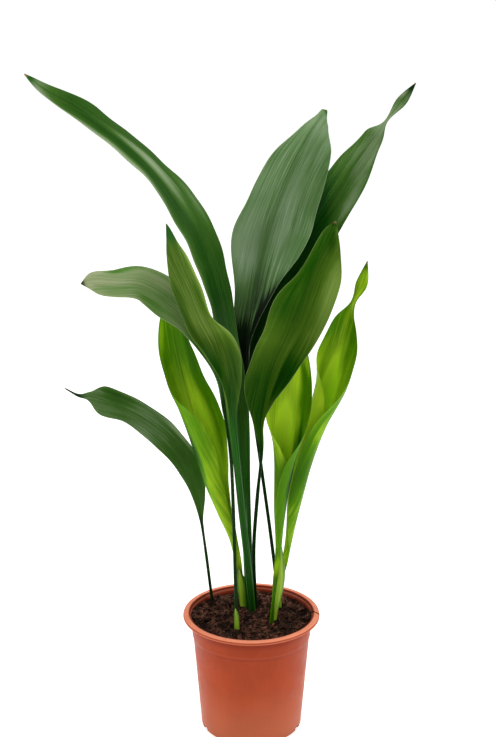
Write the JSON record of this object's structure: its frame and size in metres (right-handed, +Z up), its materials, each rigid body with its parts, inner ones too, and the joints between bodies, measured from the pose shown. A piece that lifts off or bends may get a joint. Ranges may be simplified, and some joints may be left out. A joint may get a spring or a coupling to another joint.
{
  "type": "potted cast iron plant",
  "caption": "House plant with long arching blades on thin stalks, standing in a soil-filled, tapered plastic nursery pot.",
  "frame": {"origin": "middle of the pot's underside", "axes": "+Z up out of the pot, -Y towards the viewer in the picture, +X to the viewer's right"},
  "size_m": [0.4491, 0.2772, 0.8403],
  "materials": {
    "pot_plastic": "satin moulded terracotta-coloured plastic",
    "soil": "loose dark peat and bark",
    "root": "fibrous skin with scale rings",
    "leaf_dark": "leathery leaf with a soft gloss",
    "leaf_olive": "leathery leaf with a soft gloss",
    "leaf_pale": "leathery leaf with a grey-green sheen",
    "leaf_lime": "thin young leaf that lets light through",
    "sheath": "papery scale leaf"
  },
  "bodies": {
    "root": {"pot": "pot_plastic", "soil": "soil", "rhizome": "root", "leaf_a": "leaf_dark", "leaf_b": "leaf_pale", "leaf_c": "leaf_dark", "leaf_d": "leaf_olive", "leaf_e": "leaf_pale", "leaf_f": "leaf_lime", "leaf_g": "leaf_dark", "leaf_h": "leaf_olive", "leaf_i": "leaf_lime", "leaf_j": "leaf_lime", "sheath_c": "sheath", "sheath_e": "sheath", "sheath_f": "sheath", "sheath_i": "sheath"}
  },
  "joints": []
}
